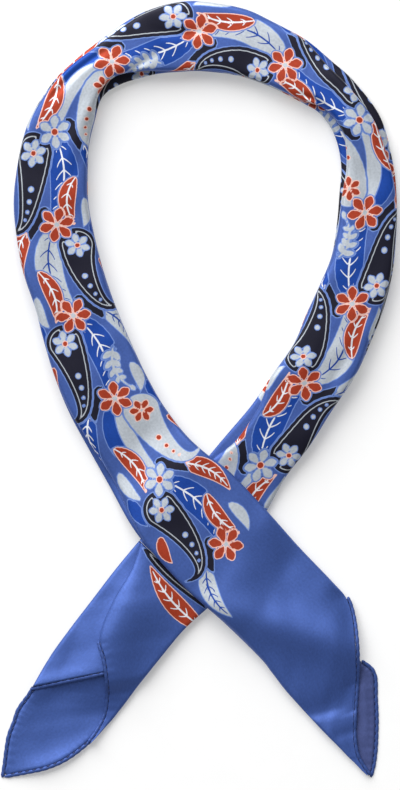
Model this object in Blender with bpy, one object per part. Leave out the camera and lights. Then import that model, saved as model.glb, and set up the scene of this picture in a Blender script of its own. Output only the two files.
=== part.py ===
"""Silk square scarf, folded on the bias into a band, laid in a loop and crossed once.

The cloth lies flat on the plane z = 0. X runs to the right, Y runs up the loop, and the
origin is under the middle of the whole outline. The hidden layers of each folded stretch
are one rounded solid, stepped at its edges where the lower folds look out.
"""

import math

import bmesh
import bpy
from mathutils import Vector

MM = 0.001

# Driving sizes, in millimetres.
SEAM_GAP = 0.3
SHEET_THICKNESS = 1.2
LAYER_RISE = SHEET_THICKNESS + SEAM_GAP
HEM_RADIUS = 1.1
HEM_OFFSET = HEM_RADIUS + SEAM_GAP
HEM_STEP = 4.0
ROW_SPACING = 5.2
TAIL_ROW_SPACING = 6.0
EDGE_ROUNDING = 0.9
EDGE_HEIGHT_SHARE = 0.4
BACK_LAYER_START = 2.0
BACK_LAYER_RAMP = 8.0
SAMPLES_PER_ROW = 24

# Swelling of the flaps where they hold folds, how high the right one rides over the left one
# and its hem, and how it drops off them.
LEFT_FLAP_SWELL = 0.4
LEFT_FLAP_SWELL_REACH = 26.0
RIGHT_FLAP_SWELL = 0.2
RIGHT_FLAP_SWELL_REACH = 70.0
LEFT_FLAP_LIFT = 2.0 * HEM_RADIUS + SEAM_GAP
FLAP_DROP_START = 5.4
FLAP_DROP_LENGTH = 9.0

# The strand that passes on top clears the three layers of the left tail, and slopes down to
# the ground on both sides of them.
UNDER_STRAND_HEIGHT = LAYER_RISE + LEFT_FLAP_LIFT + SHEET_THICKNESS + RIGHT_FLAP_SWELL
CROSSING_LIFT = UNDER_STRAND_HEIGHT + SEAM_GAP
CROSSING_RAMP = 36.0
RAMP_BLEND_POWER = 4

# The four corners of the crossing, where the strands' edges meet.
CROSSING_TOP = (4.6, -36.0)
CROSSING_RIGHT = (35.9, -65.7)
CROSSING_BOTTOM = (4.1, -118.1)
CROSSING_LEFT = (-33.2, -81.9)

# The band, one row for each section: a point on its inner edge, which faces the hole of the
# loop, one on its outer edge, the height of the folded stack, and how far the upper folds
# stand back from the lower ones at each edge.
BAND = (
    # inner_x, inner_y, outer_x, outer_y, height, inner_ledge, outer_ledge
    (-33.0, -81.6, 4.3, -117.8, 5.0, 0.0, 0.0),
    (-15.1, -60.0, 24.0, -85.7, 5.0, 0.0, 0.0),
    (4.6, -36.0, 35.9, -65.7, 5.0, 2.5, 0.0),
    (14.3, -24.7, 46.2, -47.4, 7.4, 5.5, 0.0),
    (27.8, -8.5, 59.1, -30.6, 9.8, 3.5, 0.0),
    (38.6, 7.7, 70.7, -12.3, 11.4, 0.0, 0.0),
    (50.0, 23.9, 84.2, 8.0, 12.5, 0.0, 0.0),
    (57.0, 40.1, 92.3, 26.1, 12.5, 0.0, 0.8),
    (64.5, 56.3, 99.4, 44.7, 12.5, 0.0, 1.0),
    (71.0, 72.5, 104.2, 65.0, 12.5, 0.0, 0.5),
    (73.7, 88.7, 106.1, 88.7, 12.5, 0.4, 0.0),
    (75.1, 104.9, 106.1, 104.9, 13.0, 1.2, 0.5),
    (76.1, 121.1, 104.2, 122.2, 13.5, 2.6, 2.2),
    (72.6, 137.3, 97.3, 147.0, 14.0, 4.2, 4.0),
    (64.5, 149.2, 82.9, 166.5, 14.0, 3.0, 4.2),
    (54.8, 155.1, 71.0, 177.4, 13.5, 0.8, 3.4),
    (41.0, 162.2, 56.7, 189.4, 13.0, 0.0, 1.0),
    (27.3, 167.6, 39.7, 198.3, 12.5, 0.0, 0.0),
    (17.0, 170.3, 23.2, 205.7, 12.5, 0.0, 0.0),
    (-0.3, 172.2, -0.3, 209.7, 12.5, 0.0, 0.0),
    (-11.8, 171.7, -15.6, 208.6, 12.5, 0.0, 0.0),
    (-22.4, 170.8, -30.3, 204.3, 13.0, 0.8, 0.6),
    (-30.5, 168.9, -43.0, 197.1, 13.5, 3.0, 1.6),
    (-43.5, 164.9, -58.5, 185.7, 14.0, 4.6, 1.6),
    (-53.2, 157.8, -73.7, 173.2, 14.0, 2.0, 1.2),
    (-57.3, 144.9, -85.8, 157.7, 13.5, 0.0, 0.6),
    (-60.2, 132.5, -93.6, 143.0, 13.0, 0.0, 0.0),
    (-61.0, 118.4, -98.7, 123.0, 12.5, 0.0, 0.0),
    (-60.8, 102.2, -101.0, 102.2, 12.5, 0.0, 0.0),
    (-58.6, 88.7, -99.7, 83.8, 12.0, 0.0, 0.0),
    (-54.8, 72.5, -96.1, 63.7, 12.0, 0.0, 0.0),
    (-50.0, 56.3, -89.4, 43.9, 12.0, 0.0, 0.0),
    (-44.0, 40.1, -85.1, 27.2, 11.5, 0.0, 0.0),
    (-37.0, 23.9, -79.2, 7.6, 11.5, 0.0, 0.0),
    (-29.4, 7.7, -71.2, -12.3, 11.0, 0.0, 0.6),
    (-20.2, -8.5, -60.2, -32.8, 10.0, 0.0, 2.2),
    (-7.8, -24.7, -49.1, -52.5, 8.4, 0.0, 3.2),
    (4.6, -36.0, -38.1, -72.5, 6.8, 0.0, 1.8),
    (15.9, -44.7, -27.6, -86.4, 6.2, 0.0, 0.0),
    (35.9, -65.7, -8.0, -107.8, 5.8, 0.0, 0.0),
    (53.7, -85.7, 12.2, -125.7, 5.4, 0.0, 0.0),
    (71.8, -104.6, 32.0, -145.1, 5.0, 0.0, 0.0),
    (79.2, -113.6, 38.4, -153.0, 4.6, 0.0, 0.0),
    (82.6, -126.0, 45.6, -162.4, 4.2, 0.0, 0.0),
    (84.0, -140.0, 53.4, -171.2, 3.8, 0.0, 0.0),
    (84.2, -154.0, 60.8, -179.2, 3.4, 0.0, 0.0),
    (83.4, -168.0, 68.0, -186.8, 3.0, 0.0, 0.0),
    (82.6, -180.0, 74.4, -193.2, 2.7, 0.0, 0.0),
    (82.8, -190.0, 79.6, -198.6, 2.4, 0.0, 0.0),
    (84.4, -198.6, 83.8, -202.6, 2.1, 0.0, 0.0),
)
# Rows counted from the first: where the band begins to pass on top, where the loop ends and
# the right tail begins, and where that tail's open edge begins.
OVER_STRAND_ROW = 30
TAIL_ROW = 39.6
TAIL_HEM_ROW = 42

# One side of a band section, as the distance in from the edge and the share of the height:
# the groove between the two folds, then each fold from the groove to near the middle.
FULL_SECTION_WIDTH = 30.0
GROOVE = (2.4, 0.44)
LOWER_FOLD = (
    # inward, height_share
    (0.6, 0.37),
    (0.0, 0.24),
    (0.3, 0.09),
    (1.6, 0.0),
    (7.0, 0.0),
)
UPPER_FOLD = (
    # inward, height_share
    (0.5, 0.54),
    (0.2, 0.70),
    (1.7, 0.86),
    (5.2, 0.95),
    (10.5, 0.99),
)
# Where the points of the flat stretch between the two edges lie, as shares of its width.
FLAT_SHARES = (0.25, 0.5, 0.75)

# Folds pressed into the top of the band: one end, the middle and the other end, then depth,
# negative for a ridge, and half width. Each reaches its depth at a share of 1 / TROUGH_FADE
# from its ends.
TROUGH_FADE = 1.6
BAND_TROUGHS = (
    # x1, y1, x2, y2, x3, y3, depth, half_width
    (-62.0, 128.0, -50.0, 160.0, -15.0, 186.0, 2.2, 3.2),
    (-84.0, 150.0, -68.0, 170.0, -44.0, 186.0, 1.4, 2.6),
    (52.0, 188.0, 80.0, 168.0, 101.0, 124.0, 2.4, 2.8),
    (47.0, 160.0, 70.0, 148.0, 79.0, 112.0, 1.8, 2.4),
    (34.0, -4.0, 20.0, -22.0, 6.0, -40.0, 1.8, 2.4),
    (-68.0, -14.0, -52.0, -42.0, -34.0, -72.0, 1.2, 2.4),
    (24.0, -116.0, 60.0, -128.0, 96.0, -154.0, -1.9, 10.0),
    (30.0, -172.0, 68.0, -164.5, 104.0, -154.0, 1.9, 9.0),
    (54.0, -182.0, 74.0, -177.5, 96.0, -170.0, -0.8, 4.5),
)

# The lower layer of the right tail, which the upper one leaves bare along its hem.
RIGHT_BACK = (
    # left_x, left_y, right_x, right_y
    (17.6, -125.6, 55.0, -91.6),
    (34.6, -142.4, 71.0, -108.6),
    (42.0, -153.4, 78.6, -118.0),
    (50.0, -162.6, 82.0, -132.0),
    (58.0, -172.0, 85.6, -145.6),
    (66.0, -181.0, 92.0, -153.6),
    (73.0, -188.6, 94.0, -168.0),
    (80.0, -196.4, 94.2, -182.0),
    (85.2, -201.6, 93.4, -194.6),
    (88.4, -204.6, 91.6, -202.0),
)
BACK_HEM_ROW = 4.4

# The left tail: the corner's own layer, then the two sides that fold in over it.
LEFT_BASE = (
    # left_x, left_y, right_x, right_y
    (-33.2, -81.9, 4.1, -118.1),
    (-46.2, -97.6, -8.9, -130.0),
    (-58.6, -113.8, -21.1, -144.6),
    (-71.0, -130.0, -32.7, -159.1),
    (-82.4, -146.2, -44.6, -174.8),
    (-90.0, -161.0, -54.6, -185.6),
    (-96.2, -171.4, -64.4, -193.4),
    (-99.6, -179.6, -74.6, -199.4),
    (-101.8, -187.6, -84.4, -202.4),
    (-103.4, -195.8, -92.6, -204.4),
    (-103.4, -202.0, -100.4, -205.4),
)
BASE_HEM_ROW = 5
LEFT_FLAP = (
    # left_x, left_y, right_x, right_y
    (-33.2, -81.9, 1.0, -115.1),
    (-46.2, -97.6, -12.4, -126.9),
    (-58.6, -113.8, -24.6, -138.0),
    (-71.0, -130.0, -35.0, -142.0),
    (-82.4, -146.2, -40.0, -145.2),
    (-89.6, -159.0, -42.0, -148.4),
)
LEFT_FLAP_HEM_SHARE = 0.86
RIGHT_FLAP = (
    # left_x, left_y, right_x, right_y
    (-32.1, -82.8, 4.1, -118.1),
    (-37.5, -97.6, -8.9, -130.0),
    (-47.8, -115.4, -21.1, -144.6),
    (-54.6, -131.6, -32.7, -159.1),
    (-51.0, -144.0, -39.0, -167.4),
    (-48.9, -155.5, -43.4, -173.2),
    (-48.9, -166.0, -46.6, -177.4),
    (-50.4, -176.6, -49.4, -180.6),
)
RIGHT_FLAP_HEM_ROW = 3.2

SILK_BLUE = (0.107, 0.180, 0.470)
SILK_BLUE_WRONG_SIDE = (0.078, 0.110, 0.300)
HEM_BLUE = (0.090, 0.150, 0.400)


def smooth_step(value):
    """Ease from 0 to 1."""
    value = min(max(value, 0.0), 1.0)
    return value * value * (3.0 - 2.0 * value)


def smooth_rows(rows, position):
    """Read a table at a place between its rows, on a smooth curve through them."""
    last = len(rows) - 1
    index = min(max(int(position), 0), last - 1)
    t = position - index
    before = rows[max(index - 1, 0)]
    start = rows[index]
    end = rows[index + 1]
    after = rows[min(index + 2, last)]
    values = []
    for p0, p1, p2, p3 in zip(before, start, end, after):
        linear = p2 - p0
        square = 2.0 * p0 - 5.0 * p1 + 4.0 * p2 - p3
        cube = 3.0 * p1 - p0 - 3.0 * p2 + p3
        values.append(p1 + 0.5 * t * (linear + t * (square + t * cube)))
    return values


def side_of_line(start, end, x, y):
    """Distance from a line, positive to the left of its direction."""
    along_x = end[0] - start[0]
    along_y = end[1] - start[1]
    length = math.hypot(along_x, along_y)
    return (along_x * (y - start[1]) - along_y * (x - start[0])) / length


def beyond_under_strand(x, y):
    """How far a point lies outside the strand that passes underneath, before and after it."""
    before = side_of_line(CROSSING_LEFT, CROSSING_TOP, x, y)
    after = side_of_line(CROSSING_RIGHT, CROSSING_BOTTOM, x, y)
    return before, after


def over_strand_floor(x, y):
    """Height of the underside of the strand that passes on top."""
    before, after = beyond_under_strand(x, y)
    beyond = max(before, after, 0.0)
    over_crossing = CROSSING_LIFT * smooth_step(1.0 - beyond / CROSSING_RAMP)
    over_back_layer = LAYER_RISE * smooth_step((after - BACK_LAYER_START) / BACK_LAYER_RAMP)
    blended = over_crossing ** RAMP_BLEND_POWER + over_back_layer ** RAMP_BLEND_POWER
    return blended ** (1.0 / RAMP_BLEND_POWER)


def nearest_on_run(start, end, x, y):
    """Distance to a straight run, and the share of the run where it is nearest."""
    run_x = end[0] - start[0]
    run_y = end[1] - start[1]
    share = ((x - start[0]) * run_x + (y - start[1]) * run_y) / (run_x ** 2 + run_y ** 2)
    share = min(max(share, 0.0), 1.0)
    return math.hypot(x - start[0] - share * run_x, y - start[1] - share * run_y), share


def trough_depth(x, y):
    """How deep the pressed folds are at a point. Each is deepest at its middle."""
    depth = 0.0
    for x1, y1, x2, y2, x3, y3, deepest, half_width in BAND_TROUGHS:
        from_first = nearest_on_run((x1, y1), (x2, y2), x, y)
        from_last = nearest_on_run((x3, y3), (x2, y2), x, y)
        distance, share = min(from_first, from_last)
        fade = smooth_step(TROUGH_FADE * share)
        depth += deepest * fade * math.exp(-(distance / half_width) ** 2)
    return depth


def fold_profile(fold, middle_share, width, inner_ledge, outer_ledge):
    """One fold of a band section, from the inner edge to the outer, in shares of the width."""
    upper_width = width - inner_ledge - outer_ledge
    scale = min(1.0, upper_width / FULL_SECTION_WIDTH)
    inner = [((inner_ledge + inward * scale) / width, up) for inward, up in fold]
    outer = [(1.0 - (outer_ledge + inward * scale) / width, up) for inward, up in fold]
    last_inward = fold[-1][0] * scale
    flat = [last_inward + (upper_width - 2.0 * last_inward) * share for share in FLAT_SHARES]
    across = [((inner_ledge + inward) / width, middle_share) for inward in flat]
    return inner + across + outer[::-1]


def band_section(row, is_over_strand):
    """One closed section of the band: down the lower fold, across the flat, up the upper fold."""
    inner_x, inner_y, outer_x, outer_y, height = row[:5]
    ledges = [max(ledge, 0.0) for ledge in row[5:]]
    width = math.hypot(outer_x - inner_x, outer_y - inner_y)
    groove_share = GROOVE[1]
    lower = fold_profile(LOWER_FOLD, 0.0, width, 0.0, 0.0)
    upper = fold_profile(UPPER_FOLD, 1.0, width, *ledges)
    inner_groove, *_, outer_groove = fold_profile((GROOVE,), 1.0, width, *ledges)
    points = []
    for share_across, share_up in [inner_groove] + lower + [outer_groove] + upper[::-1]:
        x = inner_x + share_across * (outer_x - inner_x)
        y = inner_y + share_across * (outer_y - inner_y)
        z = height * share_up
        if share_up > groove_share:
            z -= trough_depth(x, y) * ((share_up - groove_share) / (1.0 - groove_share)) ** 2
        if is_over_strand:
            z += over_strand_floor(x, y)
        points.append(Vector((x, y, z)) * MM)
    return points


def positions_along(rows, first, last, spacing):
    """Evenly spaced places along a table, by the length of its middle line."""
    samples = SAMPLES_PER_ROW * (len(rows) - 1)
    places = [first + (last - first) * i / samples for i in range(samples + 1)]
    lengths = [0.0]
    previous = None
    for place in places:
        row = smooth_rows(rows, place)
        middle = ((row[0] + row[2]) / 2, (row[1] + row[3]) / 2)
        if previous:
            lengths.append(lengths[-1] + math.dist(previous, middle))
        previous = middle
    count = max(2, round(lengths[-1] / spacing))
    result = []
    index = 0
    for step in range(count + 1):
        target = lengths[-1] * step / count
        while index < samples - 1 and lengths[index + 1] < target:
            index += 1
        part = (target - lengths[index]) / (lengths[index + 1] - lengths[index])
        result.append(places[index] + (places[index + 1] - places[index]) * part)
    return result


def sheet_section(row, columns, bottom_of, top_of):
    """One closed section of a flat layer, between two heights, with blunt edges."""
    left_x, left_y, right_x, right_y = row
    width = math.hypot(right_x - left_x, right_y - left_y)
    inset = min(EDGE_ROUNDING / width, 0.25)

    def point(share, height_share):
        x = left_x + share * (right_x - left_x)
        y = left_y + share * (right_y - left_y)
        low = bottom_of(x, y)
        return Vector((x, y, low + (top_of(x, y) - low) * height_share)) * MM

    shares = [inset + (1.0 - 2.0 * inset) * k / columns for k in range(columns + 1)]
    lower = [point(share, 0.0) for share in shares]
    upper = [point(share, 1.0) for share in shares]
    left_edge = point(0.0, EDGE_HEIGHT_SHARE)
    right_edge = point(1.0, EDGE_HEIGHT_SHARE)
    return [left_edge] + lower + [right_edge] + upper[::-1]


def material(name, colour, roughness):
    """A plain silk material."""
    silk = bpy.data.materials.new(name)
    silk.use_nodes = True
    shader = silk.node_tree.nodes["Principled BSDF"]
    shader.inputs["Base Color"].default_value = (*colour, 1.0)
    shader.inputs["Roughness"].default_value = roughness
    shader.inputs["Metallic"].default_value = 0.0
    return silk


def add_loft(name, sections, silk, collection):
    """Skin equal closed sections and close both ends."""
    count = len(sections[0])
    mesh = bpy.data.meshes.new(name)
    builder = bmesh.new()
    rings = [[builder.verts.new(point) for point in section] for section in sections]
    for ring, following in zip(rings, rings[1:]):
        for k in range(count):
            n = (k + 1) % count
            builder.faces.new((ring[k], ring[n], following[n], following[k]))
    builder.faces.new(rings[0][::-1])
    builder.faces.new(rings[-1])
    if builder.calc_volume(signed=True) < 0.0:
        bmesh.ops.reverse_faces(builder, faces=builder.faces)
    builder.to_mesh(mesh)
    builder.free()
    mesh.materials.append(silk)
    mesh.shade_smooth()
    solid = bpy.data.objects.new(name, mesh)
    collection.objects.link(solid)
    return solid


def add_band_stretch(name, first, last, silk, collection):
    """A stretch of the folded band."""
    sections = []
    for place in positions_along(BAND, first, last, ROW_SPACING):
        row = smooth_rows(BAND, place)
        sections.append(band_section(row, place > OVER_STRAND_ROW))
    return add_loft(name, sections, silk, collection)


def add_sheet(name, rows, bottom_of, top_of, silk, collection, columns=8):
    """A flat layer of a tail."""
    sections = []
    for place in positions_along(rows, 0.0, len(rows) - 1.0, TAIL_ROW_SPACING):
        row = smooth_rows(rows, place)
        sections.append(sheet_section(row, columns, bottom_of, top_of))
    return add_loft(name, sections, silk, collection)


def side_edge(rows, first, last, on_right):
    """Points along one side of a layer, each with the point across from it."""
    edge = []
    for place in positions_along(rows, first, last, HEM_STEP):
        row = smooth_rows(rows, place)
        left, right = tuple(row[:2]), tuple(row[2:4])
        edge.append((right, left) if on_right else (left, right))
    return edge


def end_edge(rows, last_share):
    """Points along the last row of a layer, each with the point before it up the layer."""
    edge = []
    before = rows[-2]
    row = rows[-1]
    count = round(last_share * math.dist(row[:2], row[2:4]) / HEM_STEP)
    for step in range(count + 1):
        share = last_share * step / count
        point = tuple(row[k] + share * (row[k + 2] - row[k]) for k in (0, 1))
        inside = tuple(before[k] + share * (before[k + 2] - before[k]) for k in (0, 1))
        edge.append((point, inside))
    return edge


def hem_line(edge, length_run_on):
    """The middle line of a hem, beside the cloth's edge, run on by some length at its end."""
    line = []
    for k, (point, inside) in enumerate(edge):
        ahead = Vector(edge[min(k + 1, len(edge) - 1)][0])
        behind = Vector(edge[max(k - 1, 0)][0])
        along = (ahead - behind).normalized()
        outward = Vector((along.y, -along.x))
        if outward.dot(Vector(inside) - Vector(point)) > 0.0:
            outward.negate()
        line.append(Vector(point) + outward * HEM_OFFSET)
    if length_run_on > 0.0:
        line.append(line[-1] + (line[-1] - line[-2]).normalized() * length_run_on)
    return line


def add_hem(name, line, height_of, silk, collection):
    """A rolled hem, as a round tube on a smooth line."""
    curve = bpy.data.curves.new(name, "CURVE")
    curve.dimensions = "3D"
    curve.bevel_depth = HEM_RADIUS * MM
    curve.bevel_resolution = 2
    curve.use_fill_caps = True
    spline = curve.splines.new("POLY")
    spline.points.add(len(line) - 1)
    for point, (x, y) in zip(spline.points, line):
        point.co = (x * MM, y * MM, height_of(x, y) * MM, 1.0)
    curve.materials.append(silk)
    hem = bpy.data.objects.new(name, curve)
    collection.objects.link(hem)
    return hem


def on_ground(x, y):
    return 0.0


def base_top(x, y):
    """Top of the corner's own layer."""
    return SHEET_THICKNESS


def left_flap_bottom(x, y):
    return LAYER_RISE


def left_flap_top(x, y):
    """The left flap swells a little along its fold."""
    from_fold = side_of_line(LEFT_FLAP[1][:2], LEFT_FLAP[-1][:2], x, y)
    swell = LEFT_FLAP_SWELL * smooth_step(1.0 - from_fold / LEFT_FLAP_SWELL_REACH)
    return LAYER_RISE + SHEET_THICKNESS + swell


def right_flap_bottom(x, y):
    """The right flap lies on the left one, and drops to the corner's own layer past its hem."""
    past_edge = side_of_line(LEFT_FLAP[-1][2:], LEFT_FLAP[-1][:2], x, y)
    step = smooth_step((past_edge - FLAP_DROP_START) / FLAP_DROP_LENGTH)
    return LAYER_RISE + LEFT_FLAP_LIFT * (1.0 - step)


def right_flap_top(x, y):
    """The right flap holds more hidden folds, and is thicker towards the crossing."""
    down_tail = -side_of_line(CROSSING_BOTTOM, CROSSING_LEFT, x, y)
    swell = RIGHT_FLAP_SWELL * smooth_step(1.0 - down_tail / RIGHT_FLAP_SWELL_REACH)
    return right_flap_bottom(x, y) + SHEET_THICKNESS + swell


def hem_on_ground(x, y):
    return HEM_RADIUS


def hem_on_base(x, y):
    return LAYER_RISE + HEM_RADIUS


def hem_of_right_flap(x, y):
    return right_flap_bottom(x, y) + HEM_RADIUS


def end_row(rows):
    return len(rows) - 1.0


def build():
    """Make every piece of the scarf."""
    for existing in list(bpy.data.objects):
        bpy.data.objects.remove(existing)
    collection = bpy.data.collections.new("silk_square_scarf")
    bpy.context.scene.collection.children.link(collection)

    right_side = material("silk_right_side", SILK_BLUE, 0.42)
    wrong_side = material("silk_wrong_side", SILK_BLUE_WRONG_SIDE, 0.50)
    rolled = material("silk_rolled_hem", HEM_BLUE, 0.45)

    seam_rows = SEAM_GAP / math.dist(BAND[39][:2], BAND[40][:2])
    add_band_stretch("loop", 0.0, TAIL_ROW, right_side, collection)
    add_band_stretch("right_tail_front", TAIL_ROW + seam_rows, end_row(BAND), right_side, collection)
    add_sheet("right_tail_back", RIGHT_BACK, on_ground, base_top, wrong_side, collection)
    add_sheet("left_tail_base", LEFT_BASE, on_ground, base_top, right_side, collection)
    add_sheet("left_tail_left_flap", LEFT_FLAP, left_flap_bottom, left_flap_top, right_side, collection)
    add_sheet("left_tail_right_flap", RIGHT_FLAP, right_flap_bottom, right_flap_top, right_side, collection)

    base_left = side_edge(LEFT_BASE, BASE_HEM_ROW, end_row(LEFT_BASE), False)
    base_bottom = side_edge(LEFT_BASE, BASE_HEM_ROW, end_row(LEFT_BASE), True)
    left_flap = end_edge(LEFT_FLAP, LEFT_FLAP_HEM_SHARE)
    right_flap = side_edge(RIGHT_FLAP, RIGHT_FLAP_HEM_ROW, end_row(RIGHT_FLAP), False)
    front = side_edge(BAND, TAIL_HEM_ROW, end_row(BAND), False)
    back = side_edge(RIGHT_BACK, BACK_HEM_ROW, end_row(RIGHT_BACK), True)
    hems = (
        # name, edge of the cloth, length run on, height
        ("left_tail_hem_left", base_left, 5.0, hem_on_ground),
        ("left_tail_hem_bottom", base_bottom, 0.0, hem_on_ground),
        ("left_flap_hem", left_flap, 0.0, hem_on_base),
        ("right_flap_hem", right_flap, 6.0, hem_of_right_flap),
        ("right_tail_front_hem", front, 6.0, hem_on_base),
        ("right_tail_back_hem", back, 4.0, hem_on_ground),
    )
    for name, edge, length_run_on, height_of in hems:
        add_hem(name, hem_line(edge, length_run_on), height_of, rolled, collection)


build()
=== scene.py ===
"""Looks of the silk square scarf: printed twill, folded into a band and laid in a loop.

Sizes and places are in millimetres, as in the part's source: X to the right, Y up the loop,
Z up from the table. They become metres when a mesh is made.
"""

import math

import bpy
import numpy as np
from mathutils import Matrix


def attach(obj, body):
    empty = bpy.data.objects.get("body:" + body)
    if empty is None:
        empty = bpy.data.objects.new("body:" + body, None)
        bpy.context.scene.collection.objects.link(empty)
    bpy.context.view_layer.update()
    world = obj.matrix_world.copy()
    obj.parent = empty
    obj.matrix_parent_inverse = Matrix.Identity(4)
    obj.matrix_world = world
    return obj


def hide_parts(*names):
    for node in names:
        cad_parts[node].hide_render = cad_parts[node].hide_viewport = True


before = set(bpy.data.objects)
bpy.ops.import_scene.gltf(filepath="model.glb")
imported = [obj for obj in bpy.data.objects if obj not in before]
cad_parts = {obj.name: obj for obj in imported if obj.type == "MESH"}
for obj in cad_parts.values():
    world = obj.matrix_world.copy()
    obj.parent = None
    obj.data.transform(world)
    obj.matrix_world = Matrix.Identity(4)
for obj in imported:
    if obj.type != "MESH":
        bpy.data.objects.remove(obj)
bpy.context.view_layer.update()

MM = 0.001

# ---- The folded square ----
# The rows follow the part's solids. Only the tips and the hemmed edges are drawn out finer.

SHEET_THICKNESS = 1.2
SEAM_GAP = 0.3
LAYER_RISE = SHEET_THICKNESS + SEAM_GAP
HEM_RADIUS = 1.1
LEFT_FLAP_SWELL = 0.4
LEFT_FLAP_SWELL_REACH = 26
RIGHT_FLAP_SWELL = 0.2
RIGHT_FLAP_SWELL_REACH = 70
LEFT_FLAP_LIFT = 2 * HEM_RADIUS + SEAM_GAP
FLAP_DROP_START = 5.4
FLAP_DROP_LENGTH = 9

CROSSING_TOP = (4.6, -36)
CROSSING_RIGHT = (35.9, -65.7)
CROSSING_BOTTOM = (4.1, -118.1)
CROSSING_LEFT = (-33.2, -81.9)
UNDER_STRAND_HEIGHT = LAYER_RISE + LEFT_FLAP_LIFT + SHEET_THICKNESS + RIGHT_FLAP_SWELL
CROSSING_LIFT = UNDER_STRAND_HEIGHT + SEAM_GAP
CROSSING_RAMP = 36
RAMP_BLEND_POWER = 4
BACK_LAYER_START = 2
BACK_LAYER_RAMP = 8

# A section of the band for each row: its inner edge faces the hole of the loop. The ledges
# are how far the upper folds stand back from the lower ones.
BAND = (
    # inner_x, inner_y, outer_x, outer_y, height, inner_ledge, outer_ledge
    (-33, -81.6, 4.3, -117.8, 5, 0, 0),
    (-15.1, -60, 24, -85.7, 5, 0, 0),
    (4.6, -36, 35.9, -65.7, 5, 2.5, 0),
    (14.3, -24.7, 46.2, -47.4, 7.4, 5.5, 0),
    (27.8, -8.5, 59.1, -30.6, 9.8, 3.5, 0),
    (38.6, 7.7, 70.7, -12.3, 11.4, 0, 0),
    (50, 23.9, 84.2, 8, 12.5, 0, 0),
    (57, 40.1, 92.3, 26.1, 12.5, 0, 0.8),
    (64.5, 56.3, 99.4, 44.7, 12.5, 0, 1),
    (71, 72.5, 104.2, 65, 12.5, 0, 0.5),
    (73.7, 88.7, 106.1, 88.7, 12.5, 0.4, 0),
    (75.1, 104.9, 106.1, 104.9, 13, 1.2, 0.5),
    (76.1, 121.1, 104.2, 122.2, 13.5, 2.6, 2.2),
    (72.6, 137.3, 97.3, 147, 14, 4.2, 4),
    (64.5, 149.2, 82.9, 166.5, 14, 3, 4.2),
    (54.8, 155.1, 71, 177.4, 13.5, 0.8, 3.4),
    (41, 162.2, 56.7, 189.4, 13, 0, 1),
    (27.3, 167.6, 39.7, 198.3, 12.5, 0, 0),
    (17, 170.3, 23.2, 205.7, 12.5, 0, 0),
    (-0.3, 172.2, -0.3, 209.7, 12.5, 0, 0),
    (-11.8, 171.7, -15.6, 208.6, 12.5, 0, 0),
    (-22.4, 170.8, -30.3, 204.3, 13, 0.8, 0.6),
    (-30.5, 168.9, -43, 197.1, 13.5, 3, 1.6),
    (-43.5, 164.9, -58.5, 185.7, 14, 4.6, 1.6),
    (-53.2, 157.8, -73.7, 173.2, 14, 2, 1.2),
    (-57.3, 144.9, -85.8, 157.7, 13.5, 0, 0.6),
    (-60.2, 132.5, -93.6, 143, 13, 0, 0),
    (-61, 118.4, -98.7, 123, 12.5, 0, 0),
    (-60.8, 102.2, -101, 102.2, 12.5, 0, 0),
    (-58.6, 88.7, -99.7, 83.8, 12, 0, 0),
    (-54.8, 72.5, -96.1, 63.7, 12, 0, 0),
    (-50, 56.3, -89.4, 43.9, 12, 0, 0),
    (-44, 40.1, -85.1, 27.2, 11.5, 0, 0),
    (-37, 23.9, -79.2, 7.6, 11.5, 0, 0),
    (-29.4, 7.7, -71.2, -12.3, 11, 0, 0.6),
    (-20.2, -8.5, -60.2, -32.8, 10, 0, 2.2),
    (-7.8, -24.7, -49.1, -52.5, 8.4, 0, 3.2),
    (4.6, -36, -38.1, -72.5, 6.8, 0, 1.8),
    (15.9, -44.7, -27.6, -86.4, 6.2, 0, 0),
    (35.9, -65.7, -8, -107.8, 5.8, 0, 0),
    (53.7, -85.7, 12.2, -125.7, 5.4, 0, 0),
    (71.8, -104.6, 32, -145.1, 5, 0, 0),
    (79.2, -113.6, 38.4, -153, 4.6, 0, 0),
    (82.6, -126, 45.6, -162.4, 4.2, 0, 0),
    (84, -140, 53.4, -171.2, 3.8, 0, 0),
    (84.2, -154, 60.8, -179.2, 3.4, 0, 0),
    (83.4, -168, 68, -186.8, 3, 0, 0),
    (82.6, -180, 74.4, -193.2, 2.7, 0, 0),
    (82.8, -190, 79.6, -198.6, 2.4, 0, 0),
    (84.4, -198.6, 83.8, -202.6, 2.1, 0, 0),
    (88, -204.8, 87.2, -206.2, 1.9, 0, 0),
    (90.6, -208.6, 90.2, -209, 1.8, 0, 0),
)
OVER_STRAND_ROW = 30
TAIL_HEM_ROW = 42

RIGHT_BACK = (
    # left_x, left_y, right_x, right_y
    (17.6, -125.6, 55, -91.6),
    (34.6, -142.4, 71, -108.6),
    (42, -153.4, 78.6, -118),
    (50, -162.6, 82, -132),
    (58, -172, 86.2, -146.4),
    (66, -181, 93.2, -153.8),
    (73, -188.6, 94.2, -168),
    (80, -196.4, 94.6, -182),
    (85.4, -203.4, 94, -195),
    (88.2, -206.8, 93, -203.4),
    (90.8, -209.2, 91.6, -208.6),
)
BACK_HEM_ROW = 4.4
LEFT_BASE = (
    # left_x, left_y, right_x, right_y
    (-33.2, -81.9, 4.1, -118.1),
    (-46.2, -97.6, -8.9, -130),
    (-58.6, -113.8, -21.1, -144.6),
    (-71, -130, -32.7, -159.1),
    (-82.4, -146.2, -44.6, -174.8),
    (-90.2, -162.6, -54.8, -184.6),
    (-97.6, -173.4, -64.2, -193),
    (-100.2, -180.4, -74.4, -200.2),
    (-102.9, -187.6, -84.2, -204.2),
    (-104.4, -196, -93.2, -206.3),
    (-105.3, -203.6, -101, -207.8),
    (-106, -208.2, -105.2, -208.6),
)
BASE_HEM_ROW = 5
BASE_BOTTOM_HEM_ROW = 5.4
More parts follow.
